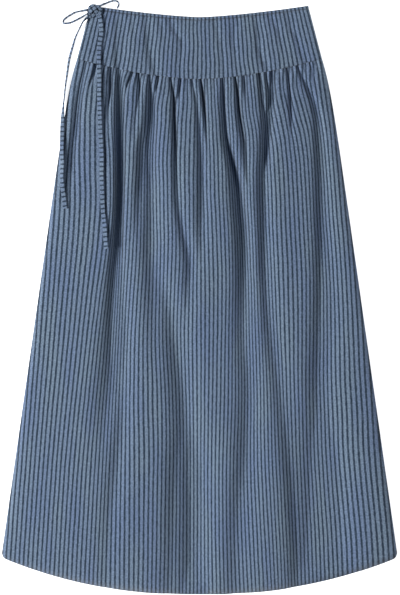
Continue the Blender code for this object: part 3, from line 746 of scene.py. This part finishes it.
def yoke_height(x, y, half):
    """Outer face of the front yoke."""
    drop = np.maximum(waist_line(x) - y, 0)
    wave = 0.5 + 0.5 * np.cos(math.pi * RIPPLES * (x / half + 1))
    height = loft(x, y, half) - RIPPLE_DEPTH * wave * np.exp(-drop / RIPPLE_FADE)
    for rows in YOKE_FOLDS.values():
        height = height - trough(x, y, rows)
    edge = np.clip((half - np.abs(x)) / EDGE_FADE, 0, 1)
    return EDGE_HEIGHT + (settle(height) - EDGE_HEIGHT) * edge


def casing_height(x, y, half):
    """Outer face of the narrow turned strip on the waist edge, rounded by the cord inside it."""
    across = np.clip((waist_line(x) - y) / CASING_WIDTH, 0, 1)
    return loft(x, y, half) + CASING_SWELL * np.sin(math.pi * across)


def front_top(x, y):
    """Outer face of whatever front piece lies at a place, or the surface beside the skirt."""
    x, y = np.array(x), np.array(y)
    half = side_half(y)
    if abs(x) > half or y > waist_line(x):
        return 0.0
    if y > waist_line(x) - CASING_WIDTH:
        return float(casing_height(x, y, half))
    if y > yoke_line(x):
        return float(yoke_height(x, y, half))
    return float(skirt_height(x, y, half))


# Materials


class Graph:
    """A material's nodes, with short calls for the few kinds that the cloth uses."""

    def __init__(self, name):
        self.material = bpy.data.materials.new(name)
        self.material.use_nodes = True
        self.nodes = self.material.node_tree.nodes
        self.links = self.material.node_tree.links
        self.shader = self.nodes["Principled BSDF"]

    def feed(self, socket, value):
        if isinstance(value, bpy.types.NodeSocket):
            self.links.new(value, socket)
        else:
            socket.default_value = value

    def math(self, operation, *values, clamp=False):
        node = self.nodes.new("ShaderNodeMath")
        node.operation = operation
        node.use_clamp = clamp
        for socket, value in zip(node.inputs, values):
            self.feed(socket, value)
        return node.outputs[0]

    def noise(self, vector, scale, detail=2.0, roughness=0.5):
        node = self.nodes.new("ShaderNodeTexNoise")
        self.feed(node.inputs["Vector"], vector)
        self.feed(node.inputs["Scale"], scale)
        self.feed(node.inputs["Detail"], detail)
        self.feed(node.inputs["Roughness"], roughness)
        return node.outputs["Fac"]

    def vector(self, x, y, z=0.0):
        node = self.nodes.new("ShaderNodeCombineXYZ")
        for socket, value in zip(node.inputs, (x, y, z)):
            self.feed(socket, value)
        return node.outputs[0]

    def mix(self, factor, first, second):
        node = self.nodes.new("ShaderNodeMix")
        node.data_type = "RGBA"
        self.feed(node.inputs["Factor"], factor)
        self.feed(node.inputs[6], first)
        self.feed(node.inputs[7], second)
        return node.outputs[2]

    def span(self, value, low, high, to_low=0.0, to_high=1.0, smooth=False):
        node = self.nodes.new("ShaderNodeMapRange")
        node.interpolation_type = "SMOOTHSTEP" if smooth else "LINEAR"
        for socket, number in zip(node.inputs, (value, low, high, to_low, to_high)):
            self.feed(socket, number)
        return node.outputs[0]


def srgb(red, green, blue):
    """Linear colour of an everyday 0 to 255 colour."""
    def linear(part):
        part = part / 255
        return part / 12.92 if part <= 0.04045 else ((part + 0.055) / 1.055) ** 2.4
    return (linear(red), linear(green), linear(blue), 1.0)


GROUND = srgb(106, 123, 141)
GROUND_COOL = srgb(96, 113, 142)
GROUND_PALE = srgb(131, 143, 156)
NAVY = srgb(12, 29, 48)
NAVY_GREEN = srgb(15, 36, 50)

# Plain weave: the pitch of its threads, and how far they and the slubs stand up
THREAD = 0.00055
SLUB_RAISE = 2.0
WEAVE_BUMP = 0.35
WEAVE_DEPTH = 0.00025

# Uneven yarn and dye: patches for each metre across and down the cloth, and how ragged they are
YarnRow = namedtuple("YarnRow", "across down detail roughness")
SLUB = YarnRow(900.0, 160.0, 3.0, 0.6)
DRIFT = YarnRow(60.0, 14.0, 1.0, 0.5)
WEFT = YarnRow(120.0, 1300.0, 2.0, 0.6)
CLOUD = YarnRow(26.0, 7.0, 2.0, 0.5)
DASH = YarnRow(134.0, 150.0, 2.0, 0.7)
GRAIN = YarnRow(480.0, 380.0, 2.0, 0.7)
SPECK = YarnRow(610.0, 480.0, 2.0, 0.7)


def uneven(g, across, down, row):
    """Noise over the cloth, drawn out as the row says."""
    place = g.vector(g.math("MULTIPLY", across, row.across), g.math("MULTIPLY", down, row.down))
    return g.noise(place, 1.0, row.detail, row.roughness)


def stripe_mask(g, across, slub, drift, half, shift):
    """1 on a stripe and 0 between them, with slubby edges."""
    moved = g.math("ADD", across, g.span(drift, 0.3, 0.7, shift - STRIPE_DRIFT, shift + STRIPE_DRIFT))
    turn = g.math("FRACT", g.math("DIVIDE", moved, STRIPE_PITCH))
    off = g.math("MULTIPLY", g.math("ABSOLUTE", g.math("SUBTRACT", turn, 0.5)), STRIPE_PITCH)
    off = g.math("ADD", off, g.span(slub, 0.25, 0.75, -STRIPE_SLUB, STRIPE_SLUB))
    return g.span(off, half - STRIPE_EDGE, half + STRIPE_EDGE, 1.0, 0.0, smooth=True)


def plain_weave(g, across, down, slub):
    """Threads over and under, with the slubs raised."""
    over = g.math("SINE", g.math("MULTIPLY", across, 2 * math.pi / THREAD))
    under = g.math("SINE", g.math("MULTIPLY", down, 2 * math.pi / THREAD))
    weave = g.math("ADD", g.math("MULTIPLY", over, under), g.math("MULTIPLY", slub, SLUB_RAISE))
    bump = g.nodes.new("ShaderNodeBump")
    bump.inputs["Strength"].default_value = WEAVE_BUMP
    bump.inputs["Distance"].default_value = WEAVE_DEPTH
    g.links.new(weave, bump.inputs["Height"])
    g.links.new(bump.outputs[0], g.shader.inputs["Normal"])


def striped_cloth(name, half=STRIPE_HALF, shift=0.0):
    """Woven cloth with slubby navy stripes. UV is the place in the cloth, in metres."""
    g = Graph(name)
    uv = g.nodes.new("ShaderNodeUVMap")
    parts = g.nodes.new("ShaderNodeSeparateXYZ")
    g.links.new(uv.outputs[0], parts.inputs[0])
    across, down = parts.outputs[0], parts.outputs[1]
    rows = (SLUB, DRIFT, WEFT, CLOUD, DASH, GRAIN, SPECK)
    slub, drift, weft, cloud, dash, grain, speck = (uneven(g, across, down, row) for row in rows)

    # The blue ground: cooler in clouds, paler where a slub crosses the weft
    ground = g.mix(g.span(cloud, 0.35, 0.65), GROUND, GROUND_COOL)
    fleck = g.math("MULTIPLY", g.span(slub, 0.45, 0.8), g.span(weft, 0.3, 0.75))
    ground = g.mix(g.math("MULTIPLY", fleck, 0.55), ground, GROUND_PALE)

    # The navy stripes, broken by dashes, then dark grains and pale specks over all
    stripe = stripe_mask(g, across, slub, drift, half, shift)
    stripe = g.math("MULTIPLY", stripe, g.span(dash, 0.36, 0.54, 0.80, 1.0))
    worn = g.mix(stripe, ground, g.mix(cloud, NAVY, NAVY_GREEN))
    worn = g.mix(g.span(grain, 0.38, 0.62, 0.44, 0.0), worn, NAVY)
    worn = g.mix(g.span(speck, 0.50, 0.66, 0.0, 0.16), worn, GROUND)
    g.links.new(worn, g.shader.inputs["Base Color"])

    plain_weave(g, across, down, slub)
    g.shader.inputs["Roughness"].default_value = 0.9
    g.shader.inputs["Specular IOR Level"].default_value = 0.2
    g.shader.inputs["Sheen Weight"].default_value = 0.12
    g.shader.inputs["Sheen Roughness"].default_value = 0.6
    return g.material


# Panels


def set_uv(mesh, uv):
    layer = mesh.uv_layers.new(name="UVMap")
    corners = np.zeros(len(mesh.loops), dtype=np.int32)
    mesh.loops.foreach_get("vertex_index", corners)
    layer.data.foreach_set("uv", uv[corners].astype(np.float32).ravel())


def panel(name, points, uv, finish, wall=FRONT_WALL):
    """A panel: an open grid through rows of points, outer face up, thickened downwards."""
    rows, columns, _ = points.shape
    index = np.arange(rows * columns).reshape(rows, columns)
    corners = (index[:-1, :-1], index[1:, :-1], index[1:, 1:], index[:-1, 1:])
    faces = np.stack([corner.ravel() for corner in corners], axis=1)
    mesh = bpy.data.meshes.new(name)
    mesh.from_pydata(points.reshape(-1, 3).tolist(), [], faces.tolist())
    set_uv(mesh, uv.reshape(-1, 2))
    mesh.materials.append(finish)
    mesh.shade_smooth()
    made = bpy.data.objects.new(name, mesh)
    bpy.context.scene.collection.objects.link(made)
    thick = made.modifiers.new("wall", "SOLIDIFY")
    thick.thickness = wall
    thick.offset = -1.0
    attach(made, "root")
    return made


def step_up(away, reach):
    """A soft step from 0 to 1."""
    return 0.5 + 0.5 * np.tanh(away / reach)


def sway(x, y):
    """Small sideways shift of the threads, as laid cloth has."""
    return sum(row.far * np.sin(2 * math.pi * (y / row.down + x / row.across)) for row in SWAYS)


def cloth_across(x, y, u, cut, density):
    """Place across the cloth: an even pitch between the folds, and the rest of the cut inside them."""
    drop = np.maximum(yoke_line(u * YOKE_HALF) - y, 0)
    hidden = np.zeros_like(x)
    for rows in SKIRT_FOLDS.values():
        middle, _, left, right, held = fold_at(y, rows)
        reach = (left + right) * np.clip((left + right) / HELD_WIDE, *HELD_REACH)
        hidden += held * step_up(x - middle + left * HELD_LEAD, reach)
    for place, depth, fade in GATHER_ROWS:
        held = GATHER_HELD * np.exp(-drop / (2 * fade))
        hidden += held * step_up((u - place) * YOKE_HALF, GATHER_STEP)
    shown = density * x
    spare = cut - (shown[:, -1:] - shown[:, :1])
    share = spare / (hidden[:, -1:] - hidden[:, :1])
    across = shown + share * hidden

    # The set places keep their share of the cut, and the threads are eased down the skirt
    places = np.array([np.interp(CLOTH_ANCHORS, u[0], row) for row in across])
    drift = CLOTH_SHARES * cut - places
    across = across + np.array([np.interp(u[0], CLOTH_ANCHORS, row) for row in drift])
    for _ in range(CLOTH_EASINGS):
        across[1:-1] = (across[:-2] + 2 * across[1:-1] + across[2:]) / 4
    return across + sway(x, y) * (1 - u ** 4) * np.exp(-drop / SWAY_FADE)


def front_skirt(finish):
    columns = np.linspace(-1, 1, SKIRT_COLUMNS + 1)
    rows = (np.arange(SKIRT_ROWS + 1) / SKIRT_ROWS) ** SKIRT_ROW_POWER
    u, v = np.meshgrid(columns, rows)
    x, y, half = skirt_place(u, v)
    cut = SKIRT_CUT_TOP + (SKIRT_CUT_HEM - SKIRT_CUT_TOP) * v[:, :1]
    across = cloth_across(x, y, u, cut, SHOWN_TOP + (SHOWN_HEM - SHOWN_TOP) * v[:, :1])
    points = np.dstack((x, y, skirt_height(x, y, half)))
    points[0] += (0, SEAM_TUCK, -SEAM_DROP)
    made = panel("front_skirt_cloth", points, np.dstack((across, y)), finish)
    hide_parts("front_skirt")
    return made


def front_yoke(finish):
    u, v = np.meshgrid(np.linspace(-1, 1, YOKE_COLUMNS + 1), np.linspace(0, 1, YOKE_ROWS + 1))
    x, y, half = yoke_place(u, v)
    points = np.dstack((x, y, yoke_height(x, y, half)))
    points[-1] -= (0, 0, SEAM_ROLL)
    across = u * YOKE_CUT / 2 + sway(x, y) * (1 - u ** 4)
    made = panel("front_yoke_cloth", points, np.dstack((across, y)), finish)
    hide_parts("front_yoke")
    return made


def front_casing(finish):
    u, v = np.meshgrid(np.linspace(-1, 1, CASING_COLUMNS + 1), np.linspace(0, 1, CASING_ROWS + 1))
    x, y, half = casing_place(u, v)
    points = np.dstack((x, y, casing_height(x, y, half)))
    made = panel("front_casing_cloth", points, np.dstack((u * YOKE_CUT / 2, y)), finish)
    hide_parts("front_casing")
    return made


def back_panel(node, place, cut_top, cut_low, finish):
    u, v = np.meshgrid(np.linspace(-1, 1, BACK_COLUMNS + 1), np.linspace(0, 1, BACK_ROWS + 1))
    x, y, _ = place(u, v)
    points = np.dstack((x, y, np.full_like(x, WALL)))
    across = u * (cut_top + (cut_low - cut_top) * v) / 2
    made = panel(node + "_cloth", points, np.dstack((across, y)), finish, WALL)
    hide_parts(node)
    return made


# Tie


def rest_height(x, y, reach):
    """Highest point under a patch of the tie."""
    around = (-reach, 0, reach)
    return max(front_top(x + dx, y + dy) for dx in around for dy in around)


def highest_near(heights, reach):
    """Each value raised to the highest within so many places of it."""
    padded = np.pad(heights, reach, mode="edge")
    return np.array([padded[k:k + 2 * reach + 1].max() for k in range(len(heights))])


def route_points(rows, step):
    """Even points on a smooth curve through the route, with height and turn."""
    plan = np.array([(row.x * MM, row.y * MM) for row in rows])
    along = np.concatenate(([0], np.cumsum(np.hypot(*np.diff(plan, axis=0).T))))
    count = max(int(round(along[-1] / step)), 4)
    at = np.linspace(0, along[-1], count * ROUTE_PROBES + 1)
    x = smooth_read(at, along, plan[:, 0])
    y = smooth_read(at, along, plan[:, 1])
    turn = np.radians(smooth_read(at, along, [row.turn for row in rows]))
    tall = TIE_WIDTH / 2 * np.abs(np.cos(turn)) + TIE_THICKNESS / 2 * np.abs(np.sin(turn))
    wide = TIE_WIDTH / 2 * np.abs(np.sin(turn)) + TIE_THICKNESS / 2 * np.abs(np.cos(turn))
    lift = np.array([rest_height(*spot) for spot in zip(x, y, wide)]) + tall
    z = highest_near(lift, ROUTE_PROBES) + GAP
    z = smooth_read(at, at[::ROUTE_PROBES], z[::ROUTE_PROBES])
    return at, x, y, z, turn


def ribbon(points, turns, width, thickness, along):
    """Section points of a flat cord round its route: rounded edges and a slight hollow."""
    ahead = np.gradient(points, axis=0)
    ahead /= np.linalg.norm(ahead, axis=1)[:, None]
    side = np.cross(ahead, (0.0, 0.0, 1.0))
    side /= np.maximum(np.linalg.norm(side, axis=1), 1e-9)[:, None]
    up = np.cross(side, ahead)
    wide = up * np.cos(turns)[:, None] + side * np.sin(turns)[:, None]
    thin = np.cross(wide, ahead)
    a, b = width / 2, thickness / 2
    face = ((-a * 0.93, b), (-a * 0.45, b * 0.9), (0, b * 0.6), (a * 0.45, b * 0.9), (a * 0.93, b))
    section = ((-a, 0), *face, (a, 0), *((w, -t) for w, t in reversed(face)))
    rings = np.stack([points + wide * w + thin * t for w, t in section], axis=1)
    uv = np.zeros(rings.shape[:2] + (2,))
    uv[..., 0] = along[:, None]
    uv[..., 1] = np.array([w for w, _ in section])[None, :]
    return rings, uv


def tube_mesh(name, rings, uv, finish):
    """One closed mesh through the rings, with flat ends."""
    count, sides, _ = rings.shape
    faces = []
    for r in range(count - 1):
        for s in range(sides):
            a, b = r * sides + s, r * sides + (s + 1) % sides
            faces.append((a, b, b + sides, a + sides))
    faces.append(tuple(range(sides))[::-1])
    faces.append(tuple((count - 1) * sides + s for s in range(sides)))
    mesh = bpy.data.meshes.new(name)
    mesh.from_pydata(rings.reshape(-1, 3).tolist(), [], faces)
    set_uv(mesh, uv.reshape(-1, 2))
    mesh.materials.append(finish)
    mesh.shade_smooth()
    made = bpy.data.objects.new(name, mesh)
    bpy.context.scene.collection.objects.link(made)
    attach(made, "root")
    return made


def tie_stretch(name, rows, step, finish):
    at, x, y, z, turn = route_points(rows, step)
    fine = np.linspace(0, at[-1], int(at[-1] / FINE_STEP) + 2)
    points = np.stack([smooth_read(fine, at, values) for values in (x, y, z)], axis=1)
    start = points[0] - points[1]
    points = np.vstack((points[0] + start / np.linalg.norm(start) * TIE_LEAD, points))
    fine = np.concatenate(([-TIE_LEAD], fine))
    turns = smooth_read(fine, at, turn)
    length = float(np.linalg.norm(np.diff(points, axis=0), axis=1).sum())
    rings, uv = ribbon(points, turns, TIE_WIDTH, TIE_THICKNESS, fine)
    made = tube_mesh(name + "_cloth", rings, uv, finish)
    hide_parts(name)
    return made, points, length


def tie_knot(finish):
    """The knot: bands of the same cord bent round each other on the waist corner."""
    base = rest_height(*KNOT_CENTRE, KNOT_REACH) + GAP
    pieces = []
    for k, band in enumerate(KNOT_BANDS):
        plan = np.array(band.points) * MM
        plan[:, 2] += base
        along = np.concatenate(([0], np.cumsum(np.linalg.norm(np.diff(plan, axis=0), axis=1))))
        fine = np.linspace(0, along[-1], BAND_RINGS)
        points = np.stack([smooth_read(fine, along, plan[:, axis]) for axis in range(3)], axis=1)
        turns = np.full(len(fine), math.radians(band.turn))
        rings, uv = ribbon(points, turns, BAND_WIDTH, BAND_THICKNESS, fine + BAND_SHIFT * k)
        pieces.append(tube_mesh(f"tie_knot_{band.name}", rings, uv, finish))
    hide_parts("tie_knot")
    return pieces


# Surroundings
FLOOR_HALF = 6.0
FLOOR_DROP = 0.0004
FLOOR_PALE = (0.90, 0.90, 0.90, 1.0)
FLOOR_GLOW = 0.8
LampRow = namedtuple("LampRow", "name place size energy")
LAMPS = (
    LampRow("key", (-4.2, -0.57, 3.72), 2.1, 560.0),
    LampRow("fill", (2.1, 0.4, 1.9), 1.8, 26.0),
)
ROOM_LIGHT = (0.82, 0.94, 1.12, 1.0)
ROOM_STRENGTH = 0.17


def floor():
    mesh = bpy.data.meshes.new("floor")
    corners = [(x * FLOOR_HALF, y * FLOOR_HALF, 0) for x, y in ((-1, -1), (1, -1), (1, 1), (-1, 1))]
    mesh.from_pydata(corners, [], [(0, 1, 2, 3)])
    made = bpy.data.objects.new("floor", mesh)
    made.location.z = -FLOOR_DROP
    bpy.context.scene.collection.objects.link(made)
    paint = bpy.data.materials.new("pale_floor")
    paint.use_nodes = True
    shader = paint.node_tree.nodes["Principled BSDF"]
    shader.inputs["Base Color"].default_value = FLOOR_PALE
    shader.inputs["Roughness"].default_value = 0.9
    shader.inputs["Emission Color"].default_value = (1.0, 1.0, 1.0, 1.0)
    shader.inputs["Emission Strength"].default_value = FLOOR_GLOW
    mesh.materials.append(paint)


def lights():
    """Round area lamps aimed at the skirt's middle, in a dim room."""
    for row in LAMPS:
        data = bpy.data.lights.new(row.name, "AREA")
        data.shape = "DISK"
        data.size = row.size
        data.energy = row.energy
        made = bpy.data.objects.new(row.name, data)
        made.location = row.place
        made.rotation_euler = (-Vector(row.place)).to_track_quat("-Z", "Y").to_euler()
        bpy.context.scene.collection.objects.link(made)
    world = bpy.data.worlds.new("studio")
    world.use_nodes = True
    world.node_tree.nodes["Background"].inputs[0].default_value = ROOM_LIGHT
    world.node_tree.nodes["Background"].inputs[1].default_value = ROOM_STRENGTH
    bpy.context.scene.world = world
    bpy.context.scene.view_settings.view_transform = "Standard"


camera()
cloth = striped_cloth("striped_cloth")
strip = striped_cloth("striped_tie", TIE_STRIPE_HALF, TIE_STRIPE_SHIFT)

Stretch = namedtuple("Stretch", "node rows step far_end")
STRETCHES = (
    Stretch("tie_loop_left", LOOP_LEFT, LOOP_STEP, "object"),
    Stretch("tie_loop_right", LOOP_RIGHT, LOOP_STEP, "object"),
    Stretch("tie_tail_left", TAIL_LEFT, TIE_STEP, "bare"),
    Stretch("tie_tail_right", TAIL_RIGHT, TIE_STEP, "bare"),
)
knot_pieces = tie_knot(strip)
for stretch in STRETCHES:
    piece, path, length = tie_stretch(stretch.node, stretch.rows, stretch.step, strip)

skirt_front = front_skirt(cloth)
yoke_front = front_yoke(cloth)
casing_front = front_casing(cloth)
skirt_back = back_panel("back_skirt", skirt_place, SKIRT_CUT_TOP, SKIRT_CUT_HEM, cloth)
yoke_back = back_panel("back_yoke", yoke_place, YOKE_CUT, YOKE_CUT, cloth)
casing_back = back_panel("back_casing", casing_place, YOKE_CUT, YOKE_CUT, cloth)

floor()
lights()
